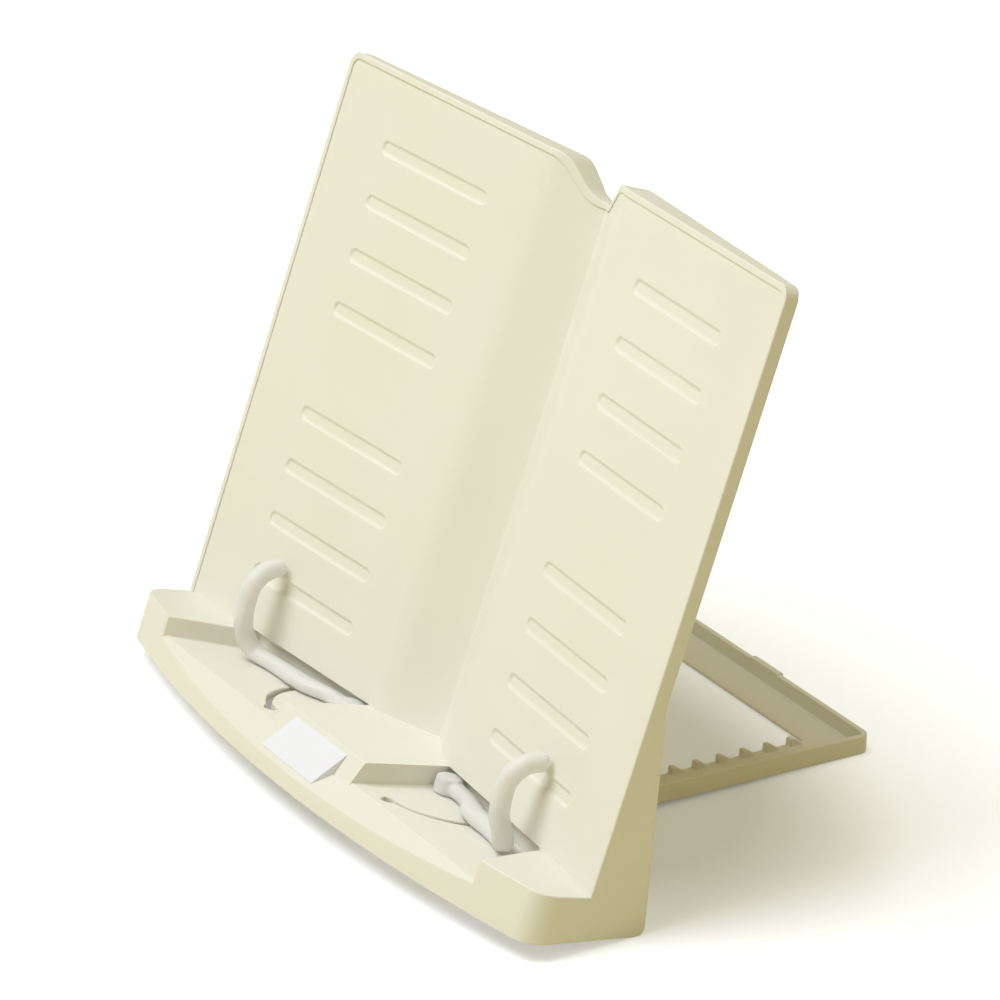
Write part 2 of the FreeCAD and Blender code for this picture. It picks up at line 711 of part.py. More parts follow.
# Blank label: a flat face that bridges the crease between the brow and the nose of the ledge.
thick = size("label_thick")
climb = size("label_climb")
label_top = brow_foot + (brow - brow_foot) * climb
label_high = nose_at(brow_foot) + (top_at(brow) - nose_at(brow_foot)) * climb
label_front = -size("ledge_reach") + size("label_edge")
label = prism("label", "YZ", [
    (label_top, label_high), (brow_foot, nose_at(brow_foot)),
    (label_front, nose_at(label_front)), (label_front - thick * 0.5, nose_at(label_front) + thick * 0.5),
    (label_top - thick, label_high + thick * 0.5)], size("label_half"), size("label_half"))
lean(label, 0.0, -size("fixed_gap"), size("fixed_gap"))

# Page clips: a boss and an arm on the pocket floor, and a hook that curls back to the panel.
clip_thick = size("clip_thick")
arm = size("pocket_outer") - pivot_x - size("clip_end_room")
rod_r = size("clip_rod") / 2


def page_clip(name, hand):
    """One page clip about its pivot on the pocket floor, the arm reaching out to one side."""
    boss_r, pad_r = size("clip_boss"), size("clip_pad")
    plate = prism(f"{name}_plate", "XY", [
        (0.0, boss_r * 0.8), (hand * (mid_r - 6), boss_r * 0.75, 2.0), (hand * (mid_r + 2), boss_r * 0.6, 2.0),
        (hand * (mid_r + 7), 0.2, 2.0), (hand * (arm - rod_r), rod_r * 0.2, 2.0),
        (hand * (arm + rod_r * 0.7), rod_r * 0.6, 2.0), (hand * (arm + rod_r * 0.7), -rod_r - 0.6, 2.0),
        (hand * (mid_r + 6), -pad_r, 2.0), (hand * (mid_r - 8), -pad_r, 2.0),
        (hand * (mid_r - 12), -boss_r * 0.6, 2.0), (0.0, -boss_r * 0.6)], clip_thick)
    boss = post(f"{name}_boss", boss_r, clip_thick + 1, 0.0, 0.0, 0.0)
    stub = post(f"{name}_stub", size("stub_diameter") / 2, wall + size("clip_lift") + size("washer_gap"),
                0.0, 0.0, -wall - size("clip_lift") - size("washer_gap"))
    peg = post(f"{name}_peg", size("peg_diameter") / 2, wall + 3, hand * mid_r, 0.0, -wall - 1.5)
    path = sketch_on(f"{name}_path", "YZ", hand * arm)
    lead, bend, climb, curl = (size(f"clip_{part}").value for part in ("lead", "bend", "rise", "curl"))
    heading = size("clip_heading")
    mid = clip_thick / 2
    up = FreeCAD.Vector(0, 0, 1)
    tip_angle = math.asin((size("clip_tip").value - curl) / curl) + math.pi / 2
    lean_in = math.radians(heading.value)
    turn_y = -size("clip_lead") * cos_of(heading)
    turn_z = mid + size("clip_lead") * sin_of(heading)
    elbow_y = (turn_y + size("clip_bend") * sin_of(heading)).value
    elbow_z = (turn_z + size("clip_bend") * cos_of(heading)).value
    front_y = elbow_y - bend
    run = path.addGeometry(Part.LineSegment(FreeCAD.Vector(0, mid.value, 0),
                                            FreeCAD.Vector(turn_y.value, turn_z.value, 0)), False)
    elbow = path.addGeometry(Part.ArcOfCircle(
        Part.Circle(FreeCAD.Vector(elbow_y, elbow_z, 0), up, bend), math.pi, 1.5 * math.pi - lean_in), False)
    riser = path.addGeometry(Part.LineSegment(FreeCAD.Vector(front_y, elbow_z, 0),
                                              FreeCAD.Vector(front_y, elbow_z + climb, 0)), False)
    hook = path.addGeometry(Part.ArcOfCircle(
        Part.Circle(FreeCAD.Vector(front_y + curl, elbow_z + climb, 0), up, curl),
        math.pi - tip_angle, math.pi), False)
    for a, end_a, b, end_b in ((run, 2, elbow, 2), (elbow, 1, riser, 1), (riser, 2, hook, 2)):
        path.addConstraint(Sketcher.Constraint("Tangent", a, end_a, b, end_b))
    path.addConstraint(Sketcher.Constraint("Vertical", riser))
    pin_point(path, run, 1, (0.0, mid))
    pin_point(path, run, 2, (turn_y, turn_z))
    for kind, item, amount in (("Radius", elbow, size("clip_bend")), ("Distance", riser, size("clip_rise")),
                               ("Radius", hook, size("clip_curl"))):
        index = path.addConstraint(Sketcher.Constraint(kind, item, amount.value))
        path.setExpression(f"Constraints[{index}]", amount.text)
    index = path.addConstraint(Sketcher.Constraint("DistanceX", riser, 2, hook, 1, size("clip_tip").value))
    path.setExpression(f"Constraints[{index}]", size("clip_tip").text)
    section = doc.addObject("Sketcher::SketchObject", f"{name}_section")
    section.addGeometry(Part.Circle(FreeCAD.Vector(), up, rod_r.value), False)
    section.addConstraint(Sketcher.Constraint("Coincident", 0, 3, -1, 1))
    index = section.addConstraint(Sketcher.Constraint("Radius", 0, rod_r.value))
    section.setExpression(f"Constraints[{index}]", rod_r.text)
    section.Placement = FreeCAD.Placement(
        FreeCAD.Vector(), FreeCAD.Rotation(FreeCAD.Vector(1, 0, 0), 90 - heading.value))
    bind(section, Placement__Base__x=hand * arm, Placement__Base__z=mid)
    sweep = doc.addObject("Part::Sweep", f"{name}_sweep")
    sweep.Sections = [section]
    sweep.Spine = (path, ["Edge1", "Edge2", "Edge3", "Edge4"])
    sweep.Solid = True
    reach = size("clip_tip") - size("clip_curl")
    tip_drop = sqrt_of(size("clip_curl") * size("clip_curl") - reach * reach)
    ends = []
    for end, y, z in (
            ("heel", as_size(0.0), mid),
            ("tip", turn_y + size("clip_bend") * (sin_of(heading) - 1) + size("clip_tip"),
             turn_z + size("clip_bend") * cos_of(heading) + size("clip_rise") + tip_drop)):
        ball = doc.addObject("Part::Sphere", f"{name}_{end}")
        ends.append(bind(ball, Radius=rod_r, Placement__Base__x=hand * arm, Placement__Base__y=y,
                         Placement__Base__z=z))
    pilot = post(f"{name}_pilot", size("screw_shank") / 2 + size("fixed_gap"), size("screw_depth") + 10, 0.0, 0.0,
                 -wall - 10)
    rounded_tip = fuse(f"{name}_hook", sweep, *ends)
    foot_trim = block(f"{name}_trim", (-FAR, -FAR, -20.0), (FAR, FAR, 0.0))
    hook_above = cut(f"{name}_hook_above", rounded_tip, foot_trim)
    return cut(name, fuse(f"{name}_solid", plate, boss, stub, peg, hook_above), pilot)


def on_floor(item, hand, lift):
    """Set a clip piece at its pivot, lifted square off the pocket floor."""
    spin = FreeCAD.Rotation(FreeCAD.Vector(0, 0, 1), -hand * SIZES["clip_angle"])
    slope = size("ledge_dip")
    return lean(item, hand * pivot_x, pivot_y - lift * sin_of(slope), pivot_z + lift * cos_of(slope),
                floor_turn.multiply(spin))


pieces = [body_shell, label]
head_high = size("screw_head_high")
cross_long = size("screw_head") * 0.28
cross_wide = size("screw_head") * 0.07
for hand, side in ((-1, "left"), (1, "right")):
    clip = page_clip(f"page_clip_{side}", hand)
    on_floor(clip, hand, size("clip_lift"))
    washer = cut(f"clip_washer_{side}",
                 post(f"washer_{side}_disc", size("washer_diameter") / 2, size("washer_thick"), 0.0, 0.0, 0.0),
                 post(f"washer_{side}_hole", size("screw_shank") / 2 + size("pin_play"),
                      3 * size("washer_thick"), 0.0, 0.0, -size("washer_thick")))
    below = -wall - size("washer_gap") - size("washer_thick")
    on_floor(washer, hand, below)
    screw = fuse(f"clip_screw_{side}",
                 post(f"screw_{side}_shank", size("screw_shank") / 2,
                      size("screw_depth"), 0.0, 0.0, 0.0),
                 cut(f"screw_{side}_cap",
                     post(f"screw_{side}_head", size("screw_head") / 2, size("screw_head_high"), 0.0, 0.0,
                          -size("screw_head_high")),
                     fuse(f"screw_{side}_cross",
                          block(f"screw_{side}_slot_a", (-cross_long, -cross_wide, -2 * head_high),
                                (cross_long, cross_wide, -head_high * 0.45)),
                          block(f"screw_{side}_slot_b", (-cross_wide, -cross_long, -2 * head_high),
                                (cross_wide, cross_long, -head_high * 0.45)))))
    on_floor(screw, hand, below)
    pieces += [clip, washer, screw]

# Pins of the rear frame and of the stay.
for hand, side in ((-1, "left"), (1, "right")):
    length = outer_gusset + gusset_wall - inner_gusset
    start = inner_gusset if hand > 0 else -outer_gusset - gusset_wall
    pin = rod(f"frame_pin_{side}", pin_radius, 0.0, length, 0.0, 0.0)
    across = FreeCAD.Rotation(FreeCAD.Vector(0, 1, 0), 90)
    lean(pin, start, axle[0], axle[1], across)
    pieces.append(pin)
stay_pin = rod("stay_pin", pin_radius, 0.0, 2 * (lug_in + size("stay_lug")), 0.0, 0.0)
lean(stay_pin, -lug_in - size("stay_lug"), stay_y, stay_z, FreeCAD.Rotation(FreeCAD.Vector(0, 1, 0), 90))
pieces.append(stay_pin)


def axle_height():
    tilt = size("tilt")
    return size("foot_height") - axle[0] * sin_of(tilt) + axle[1] * cos_of(tilt)


# Rear frame: flat arms and a bar with an upstanding rim, drawn about its pins. Its underside is
# level with the knuckles, so that it slopes down from the pins until the rear edge is on the table.
table = -size("knuckle_radius")
web_top = table + size("frame_web")
rim_top = table + size("frame_rim")
arm_in = frame_half - size("frame_arm")
rear = size("frame_length")
bar_in = rear - size("frame_bar")
arm_start = size("arm_start")
soft = size("frame_corner")
rim_wall = size("frame_rim_wall")
knuckle_in = frame_half - knuckle
web = prism("frame_web_plate", "XY", [
    (-frame_half, 0.0), (-knuckle_in, 0.0), (-knuckle_in, arm_start), (-arm_in, arm_start),
    (-arm_in, bar_in), (arm_in, bar_in), (arm_in, arm_start), (knuckle_in, arm_start), (knuckle_in, 0.0),
    (frame_half, 0.0), (frame_half, rear, soft), (-frame_half, rear, soft)],
    size("frame_web"), offset=table)
rim_solid = cut(
    "frame_rim_ring",
    prism("frame_rim_outer", "XY", [(-frame_half, 0.0), (frame_half, 0.0), (frame_half, rear, soft),
                                    (-frame_half, rear, soft)], size("frame_rim"), offset=table),
    prism("frame_rim_inner", "XY", [(-frame_half + rim_wall, -20.0), (frame_half - rim_wall, -20.0),
                                    (frame_half - rim_wall, rear - rim_wall, soft - rim_wall),
                                    (-frame_half + rim_wall, rear - rim_wall, soft - rim_wall)],
          40.0, 5.0, offset=table))
first_tooth = size("tooth_last") - (size("tooth_count") - 1) * size("tooth_pitch")
tooth_top = web_top + size("tooth_high")
tooth_lean = 0.3
teeth = []
for i in range(int(SIZES["tooth_count"])):
    tip_y = first_tooth + i * size("tooth_pitch")
    teeth.append(prism(f"tooth_{i}", "YZ", [
        (tip_y - size("tooth_tip") / 2 - tooth_lean, web_top - 0.4), (tip_y - size("tooth_tip") / 2, tooth_top),
        (tip_y + size("tooth_tip") / 2, tooth_top),
        (tip_y + size("tooth_tip") / 2 + size("tooth_run"), web_top - 0.4)], size("tooth_wide"), offset=arm_in))
tooth_row = fuse("tooth_row", *teeth)
knuckle_solid = rod("frame_knuckle", size("knuckle_radius"), knuckle_in, knuckle, 0.0, 0.0)
knuckle_neck = block("frame_neck", (knuckle_in, 0.0, table), (frame_half, arm_start + 2, table + size("frame_rim")))
catch = block("frame_catch", (-size("catch_half"), rear - rim_wall, rim_top - 2),
              (size("catch_half"), rear + 0.6, rim_top + size("catch_high")))
frame_right = fuse("frame_right", tooth_row, knuckle_solid, knuckle_neck)
frame_raw = fuse("frame_raw", web, rim_solid, catch, frame_right, mirrored("frame_left", frame_right))
running = pin_radius + size("pin_play")
below_table = block("below_table", (-FAR, -FAR, table - 20), (FAR, FAR, table))
support_frame = cut("support_frame", frame_raw,
                    fuse("frame_cuts", rod("frame_bore", running, -FAR, 2 * FAR, 0.0, 0.0), below_table))
span = math.hypot(rear.value, table.value)
frame_dip = math.degrees(math.asin(axle_height().value / span) - math.atan2(-table.value, rear.value))
support_frame.Placement = FreeCAD.Placement(
    FreeCAD.Vector(), FreeCAD.Rotation(FreeCAD.Vector(1, 0, 0), -frame_dip))
bind(support_frame, Placement__Base__y=size("foot_setback") + axle[0] * cos_of(size("tilt"))
     + axle[1] * sin_of(size("tilt")), Placement__Base__z=axle_height())
pieces.append(support_frame)

# Stay: a tapered open frame hung from the back of the fold, its foot bar in front of the first tooth.
hinge_y = stay_y * cos_of(tilt) + stay_z * sin_of(tilt)
hinge_z = size("foot_height") - stay_y * sin_of(tilt) + stay_z * cos_of(tilt)
axle_y = axle[0] * cos_of(tilt) + axle[1] * sin_of(tilt)
along = first_tooth - size("tooth_tip") / 2 - tooth_lean - size("stay_bar") - size("seat_gap")
above = web_top + size("stay_bar") + size("seat_gap")
dip_angle = Size(frame_dip)
seat_y = axle_y + along * cos_of(dip_angle) + above * sin_of(dip_angle)
seat_z = axle_height() - along * sin_of(dip_angle) + above * cos_of(dip_angle)
reach_y, reach_z = seat_y - hinge_y, hinge_z - seat_z
length = sqrt_of(reach_y * reach_y + reach_z * reach_z)
stay_lean = math.degrees(math.atan2(reach_y.value, reach_z.value))
top_half, foot_half = size("stay_top_half"), size("stay_foot_half")
leg = size("stay_leg")
stay_thick = size("stay_thick")
shoulder = -size("stay_shoulder")
foot_high = size("stay_foot_high")
window_top = -size("stay_window_top")
soft_window = size("stay_window_round")
stay_plate = prism("stay_plate", "XZ", [(-top_half, 0.0), (-top_half, shoulder), (-foot_half, foot_high - length),
                                        (-foot_half, -length), (foot_half, -length), (foot_half, foot_high - length),
                                        (top_half, shoulder), (top_half, 0.0)], stay_thick / 2, stay_thick / 2)
stay_window = prism("stay_window", "XZ", [(0 - top_half * 0.35, window_top, soft_window / 2),
                                          (leg - foot_half, leg * 1.45 - length, soft_window),
                                          (foot_half - leg, leg * 1.45 - length, soft_window),
                                          (top_half * 0.35, window_top, soft_window / 2)], FAR, FAR)
stay_solid = fuse("stay_solid", cut("stay_open", stay_plate, stay_window),
                  rod("stay_barrel", size("stay_barrel"), -top_half, 2 * top_half, 0.0, 0.0),
                  rod("stay_foot", size("stay_bar"), -size("stay_bar_half"), 2 * size("stay_bar_half"), 0.0, -length))
prop_stay = cut("prop_stay", stay_solid, rod("stay_barrel_bore", running, -FAR, 2 * FAR, 0.0, 0.0))
lean(prop_stay, 0.0, stay_y, stay_z,
     FreeCAD.Rotation(FreeCAD.Vector(1, 0, 0), SIZES["tilt"] + stay_lean))
pieces.append(prop_stay)

body_shell.Refine = True
support_frame.Refine = True
doc.recompute()
for item in doc.Objects:
    if "Invalid" in item.State or "Error" in item.State:
        raise RuntimeError(f"{item.Name} could not be built")
for piece in pieces:
    if piece.Shape.isNull() or not piece.Shape.isValid():
        raise RuntimeError(f"{piece.Name} has no valid shape")

os.makedirs("parts", exist_ok=True)
for piece in pieces:
    piece.Label = piece.Name
    piece.Shape.exportStep(f"parts/{piece.Label}.step")
    box = piece.Shape.BoundBox
    print(f"{piece.Label:20s} solids {len(piece.Shape.Solids)} volume {piece.Shape.Volume:10.1f} "
          f"x {box.XMin:7.2f} {box.XMax:7.2f} y {box.YMin:7.2f} {box.YMax:7.2f} z {box.ZMin:7.2f} {box.ZMax:7.2f}")
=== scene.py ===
"""Looks for a folding book stand: ivory mouldings, milky page clips, plain studio floor."""
import json
import math

import bmesh
import bpy
from mathutils import Matrix, Vector
from mathutils.bvhtree import BVHTree
from mathutils.geometry import intersect_point_line


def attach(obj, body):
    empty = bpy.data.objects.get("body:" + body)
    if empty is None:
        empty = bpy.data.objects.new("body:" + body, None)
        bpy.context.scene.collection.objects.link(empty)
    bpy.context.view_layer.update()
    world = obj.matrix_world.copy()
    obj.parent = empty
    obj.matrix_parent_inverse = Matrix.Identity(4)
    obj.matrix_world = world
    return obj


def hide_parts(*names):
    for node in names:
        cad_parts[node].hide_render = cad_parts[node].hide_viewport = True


# Lengths are in metres, unless a comment says otherwise.
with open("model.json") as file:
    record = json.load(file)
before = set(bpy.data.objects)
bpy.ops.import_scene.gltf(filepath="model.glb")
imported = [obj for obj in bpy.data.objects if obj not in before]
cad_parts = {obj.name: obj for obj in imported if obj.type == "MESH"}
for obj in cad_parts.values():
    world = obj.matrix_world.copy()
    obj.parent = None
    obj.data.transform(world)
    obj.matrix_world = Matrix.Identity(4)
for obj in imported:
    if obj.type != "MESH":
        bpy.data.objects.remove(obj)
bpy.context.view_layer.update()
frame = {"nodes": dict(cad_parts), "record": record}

scene = bpy.context.scene
scene.view_settings.view_transform = "Standard"


# Camera at the photograph's viewing angle, with its lens in millimetres.
CAMERA_PLACE = (1.31035, -0.77837, 0.73379)
CAMERA_RIGHT = Vector((0.5055, 0.8629, -0.0006)).normalized()
CAMERA_BACK = Vector((0.7947, -0.4654, 0.3897)).normalized()
LENS = 181.7
SENSOR_WIDTH = 36.0
NEAREST = 0.05
FARTHEST = 50.0


def add_camera():
    """Camera with the photograph's place, heading and angle of view."""
    up = CAMERA_BACK.cross(CAMERA_RIGHT).normalized()
    right = up.cross(CAMERA_BACK)
    data = bpy.data.cameras.new("camera")
    data.sensor_fit = "HORIZONTAL"
    data.sensor_width = SENSOR_WIDTH
    data.lens = LENS
    data.clip_start = NEAREST
    data.clip_end = FARTHEST
    data.dof.use_dof = False
    item = bpy.data.objects.new("camera", data)
    turn = Matrix((right, up, CAMERA_BACK)).transposed().to_4x4()
    item.matrix_world = Matrix.Translation(CAMERA_PLACE) @ turn
    scene.collection.objects.link(item)
    scene.camera = item


add_camera()


# Materials.
class Nodes:
    """Shorthand for building a node material around one Principled shader."""

    def __init__(self, name):
        self.material = bpy.data.materials.new(name)
        self.material.use_nodes = True
        self.tree = self.material.node_tree
        self.shader = self.tree.nodes["Principled BSDF"]
        self.place = self.add("ShaderNodeTexCoord").outputs["Object"]
        self.relief = None

    def add(self, kind, **settings):
        """New node with some of its settings or inputs filled in."""
        node = self.tree.nodes.new(kind)
        for key, value in settings.items():
            if hasattr(node, key):
                setattr(node, key, value)
            else:
                node.inputs[key.replace("_", " ")].default_value = value
        return node

    def link(self, source, target):
        """Join an output to an input."""
        self.tree.links.new(source, target)

    def set(self, **values):
        """Plain values on the shader's own sockets."""
        for key, value in values.items():
            self.shader.inputs[key.replace("_", " ")].default_value = value

    def noise(self, scale, detail=2.0, rough=0.5):
        """Noise in metres, so scale is one over the size of a blotch."""
        node = self.add("ShaderNodeTexNoise", Scale=scale, Detail=detail, Roughness=rough)
        self.link(self.place, node.inputs["Vector"])
        return node.outputs["Fac"]

    def spread(self, value, low=0.0, high=1.0, from_low=0.3, from_high=0.7):
        """Map a noise or a distance to a range of values."""
        node = self.add("ShaderNodeMapRange", From_Min=from_low, From_Max=from_high,
                        To_Min=low, To_Max=high)
        self.link(value, node.inputs["Value"])
        return node.outputs["Result"]

    def tone(self, noise, dark, light):
        """Base colour that wanders between two."""
        node = self.add("ShaderNodeMix", data_type="RGBA", A=(*dark, 1.0), B=(*light, 1.0))
        self.link(self.spread(noise), node.inputs["Factor"])
        self.link(node.outputs["Result"], self.shader.inputs["Base Color"])

    def roughness(self, noise, low, high):
        """Roughness that wanders between two values."""
        self.link(self.spread(noise, low, high), self.shader.inputs["Roughness"])

    def bump(self, noise, strength, depth):
        """Fine relief on top of what is there."""
        node = self.add("ShaderNodeBump", Strength=strength, Distance=depth)
        self.link(noise, node.inputs["Height"])
        if self.relief:
            self.link(self.relief, node.inputs["Normal"])
        self.relief = node.outputs["Normal"]
        self.link(self.relief, self.shader.inputs["Normal"])


def moulded(name, rough):
    """Satin ivory plastic: flow mottling and a fine spark texture."""
    mat = Nodes(name)
    skin_noise = mat.noise(scale=210.0)
    mat.tone(mat.noise(scale=16.0, detail=3.0), dark=(0.792, 0.776, 0.700), light=(0.812, 0.798, 0.735))
    mat.roughness(skin_noise, low=rough - 0.05, high=rough + 0.06)
    mat.bump(skin_noise, strength=0.10, depth=0.0004)
    mat.bump(mat.noise(scale=2600.0, rough=0.6), strength=0.16, depth=0.00008)
    mat.set(IOR=1.47, Specular_IOR_Level=0.42)
    return mat.material


def milky():
    """Clip plastic: milky and part clear, with soft gloss and faint clouding."""
    mat = Nodes("clip_clear")
    mat.tone(mat.noise(scale=60.0), dark=(0.86, 0.86, 0.865), light=(0.90, 0.90, 0.905))
    mat.roughness(mat.noise(scale=40.0), low=0.34, high=0.42)
    mat.bump(mat.noise(scale=120.0), strength=0.05, depth=0.0002)
    mat.set(IOR=1.46, Specular_IOR_Level=0.4, Alpha=0.74)
    return mat.material


def film():
    """Blank label: smooth white film with a faint orange peel."""
    mat = Nodes("label_white")
    mat.tone(mat.noise(scale=120.0), dark=(0.806, 0.808, 0.900), light=(0.826, 0.828, 0.920))
    mat.roughness(mat.noise(scale=500.0), low=0.50, high=0.58)
    mat.bump(mat.noise(scale=900.0), strength=0.06, depth=0.0001)
    mat.set(Specular_IOR_Level=0.3)
    return mat.material


def bright_steel():
    """Turned steel: fine pits and an uneven shine."""
    mat = Nodes("steel")
    cloud = mat.noise(scale=700.0, detail=3.0)
    mat.tone(cloud, dark=(0.56, 0.56, 0.55), light=(0.68, 0.68, 0.67))
    mat.roughness(cloud, low=0.24, high=0.38)
    mat.bump(mat.noise(scale=4000.0), strength=0.1, depth=0.00005)
    mat.set(Metallic=1.0)
    return mat.material


LOOKS = {
    "ivory_shell": moulded("ivory_shell", rough=0.46),
    "ivory_frame": moulded("ivory_frame", rough=0.42),
    "clip_clear": milky(),
    "label_white": film(),
    "steel": bright_steel(),
}
SLOTS = {item["node"]: item["material_slot"] for item in frame["record"]["subparts"]}


def dress(item, node):
    """Give a piece the look of its node's material slot."""
    item.data.materials.clear()
    item.data.materials.append(LOOKS[SLOTS[node]])


def stand_in(item, node):
    """Let a piece take the place of a solid, with its look and its motion."""
    dress(item, node)
    bodies = frame["record"]["behaviour"]["bodies"]
    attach(item, next(body for body, nodes in bodies.items() if node in nodes))
    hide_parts(node)


def as_modified(item):
    """New mesh of an object, with its modifiers worked in."""
    graph = bpy.context.evaluated_depsgraph_get()
    return bpy.data.meshes.new_from_object(item.evaluated_get(graph))


for node, item in frame["nodes"].items():
    dress(item, node)


def rounded_off(values, digits):
    """Vector without the last digits of its values, so that remeshed pieces do not hang on them."""
    return Vector([round(value, digits) for value in values])


# Directions and places of the stand that its pieces share.
AXIS_DIGITS = 5
PLACE_DIGITS = 6
JOINTS = {joint["name"]: joint for joint in frame["record"]["behaviour"]["joints"]}
FLOOR_UP = rounded_off(JOINTS["clip_left_swing"]["axis"], AXIS_DIGITS).normalized()
LEAN = math.radians(20.0)
PANEL_UP = Vector((0.0, math.sin(LEAN), math.cos(LEAN)))
PANEL_BACK = Vector((0.0, PANEL_UP.z, -PANEL_UP.y))
PANEL_FOOT = Vector((0.0, -0.04637, 0.01379))
# Least cosine between two directions that count as one.
SAME_WAY = 0.9999


# Meshes of the solids, cleaned for rounding: points within a gap become one, and so do flat faces.
SOLID_GAP = 2e-5
MEND_GAP = 3e-5
SLIVER = 1e-5
FLAT = math.radians(0.6)


def clean(work, gap):
    """Join points that lie within a gap and drop what has no area."""
    bmesh.ops.remove_doubles(work, verts=work.verts, dist=gap)
    bmesh.ops.dissolve_degenerate(work, edges=work.edges, dist=SLIVER)


def welded(node):
    """Mesh of a solid with its points joined and its flat faces whole."""
    work = bmesh.new()
    work.from_mesh(frame["nodes"][node].data)
    clean(work, SOLID_GAP)
    bmesh.ops.dissolve_limit(work, angle_limit=FLAT, verts=work.verts, edges=work.edges)
    return work


def inside(place, box):
    """Whether a place, or its mirror image, lies in a box that is given for the right half."""
    half = (abs(place.x), place.y, place.z)
    return all(low <= value <= high for low, value, high in zip(box[0], half, box[1]))


# Edges that bend more than this count as sharp.
SHARP = math.radians(25.0)


# Mends to the shell: its grooves, the foot of the fold and the top wall. Areas are in square metres.
GROOVE_SPREAD = 0.0008
GROOVE_LEAST_AREA = 1.5e-4
GROOVE_MOST_AREA = 6e-4
SUNK_FLOOR = ((0.0, -0.05, 0.0), (0.03, -0.02, 0.02))
SUNK_LEAST_AREA = 1e-4
# The top wall runs from a knee beside the notch out to the panel's corner, where its rear edge has a step.
KNEE_OUT = 0.0268
CORNER_OUT = 0.1324
CORNER_SLACK = 1e-4
CORNER_STEP = 0.0020
REAR_AT_CORNER = -0.00472
REAR_SLOPE = 0.1454
REAR_SLACK = 3e-4
WALL_LEAST_HEIGHT = 0.190


def is_inside_corner(edge):
    """Whether two faces meet at an edge in a sharp hollow."""
    return len(edge.link_faces) == 2 and edge.calc_face_angle_signed() < -SHARP


def open_grooves(work):
    """Lean the walls of the long shallow grooves outward, by drawing in each groove's floor."""
    for face in work.faces:
        is_floor = all(is_inside_corner(edge) for edge in face.edges)
        if not (is_floor and GROOVE_LEAST_AREA < face.calc_area() < GROOVE_MOST_AREA):
            continue
        moves = []
        for loop in face.loops:
            before = (loop.vert.co - loop.link_loop_prev.vert.co).normalized()
            after = (loop.link_loop_next.vert.co - loop.vert.co).normalized()
            inward = face.normal.cross(before) + face.normal.cross(after)
            moves.append((loop.vert, inward * (2.0 * GROOVE_SPREAD / inward.length_squared)))
        for vert, move in moves:
            vert.co += move


def level_fold_foot(work):
    """Bring the sunk floor at the foot of the fold up to the ledge, along the panel."""
    level_faces = [face for face in work.faces if face.normal.dot(FLOOR_UP) > SAME_WAY]
    ledge = max(level_faces, key=lambda face: face.calc_area())
    level = ledge.verts[0].co.dot(FLOOR_UP)
    for face in work.faces:
        is_low = inside(face.calc_center_median(), SUNK_FLOOR)
        if is_low and face.normal.dot(PANEL_UP) > SAME_WAY and face.calc_area() > SUNK_LEAST_AREA:
            for vert in face.verts:
                gap = (level - vert.co.dot(FLOOR_UP)) / PANEL_UP.dot(FLOOR_UP)
                vert.co += PANEL_UP * max(gap, 0.0)
    clean(work, MEND_GAP)


def taper_top_wall(work):
    """Narrow the panel's top wall evenly toward its corners, so that it meets the side walls flush."""
    for vert in work.verts:
        out = abs(vert.co.x)
        place = vert.co - PANEL_FOOT
        rear_edge = REAR_AT_CORNER - REAR_SLOPE * (out - CORNER_OUT)
        is_rear = abs(place.dot(PANEL_BACK) - rear_edge) < REAR_SLACK
        is_wall = KNEE_OUT < out < CORNER_OUT + CORNER_SLACK and place.dot(PANEL_UP) > WALL_LEAST_HEIGHT
        if is_rear and is_wall:
            vert.co -= PANEL_BACK * (CORNER_STEP * (out - KNEE_OUT) / (CORNER_OUT - KNEE_OUT))
    clean(work, MEND_GAP)


# Moulded and cut pieces get the small edge radii that a drawing leaves out.
SHADED_SHARP = math.radians(46.0)
BEVEL_STEPS = 2
# A radius takes at most these shares of a face's width and of a corner's shorter edge.
FACE_SHARE = 0.4
CORNER_SHARE = 0.42
CORNER_PASSES = 6
# Two edges whose half angle has more than this tangent run on as one.
STRAIGHT_ON = 3.0
# An edge whose radius is cut below this share of the full one stays sharp.
LEAST_SHARE = 0.5
# Signs that a rounded mesh is wrong: its distance to the solid in radii, and which way it faces.
OFF_SURFACE = 0.6
ON_SURFACE = 0.15
FOLDED_OVER = -0.7
# Twice the area of a triangle, in square metres, below which its facing says nothing.
LEAST_CROSS = 1.2e-7
# Edges near a wrong place lose their radius. Each try reaches further, in radii.
NEAR_PLACE = 5.0
TRY_MARGINS = (0.1, 0.4, 0.7, 1.0, 1.3, 1.6, 1.9)
# Room behind an edge is looked for between these depths.
LEAST_ROOM = 1e-6
MOST_ROOM = 1.0


def room_behind(loop):
    """Width of a face straight in from the middle of one of its edges."""
    start, end = loop.vert.co, loop.link_loop_next.vert.co
    middle = (start + end) / 2.0
    along = (end - start).normalized()
    inward = loop.face.normal.cross(along)
    room = MOST_ROOM
    for other in loop.face.loops:
        one, two = other.vert.co - middle, other.link_loop_next.vert.co - middle
        a, b = one.dot(along), two.dot(along)
        if other is not loop and (a < 0.0) != (b < 0.0):
            depth = one.dot(inward) + (two - one).dot(inward) * a / (a - b)
            if depth > LEAST_ROOM:
                room = min(room, depth)
    return room


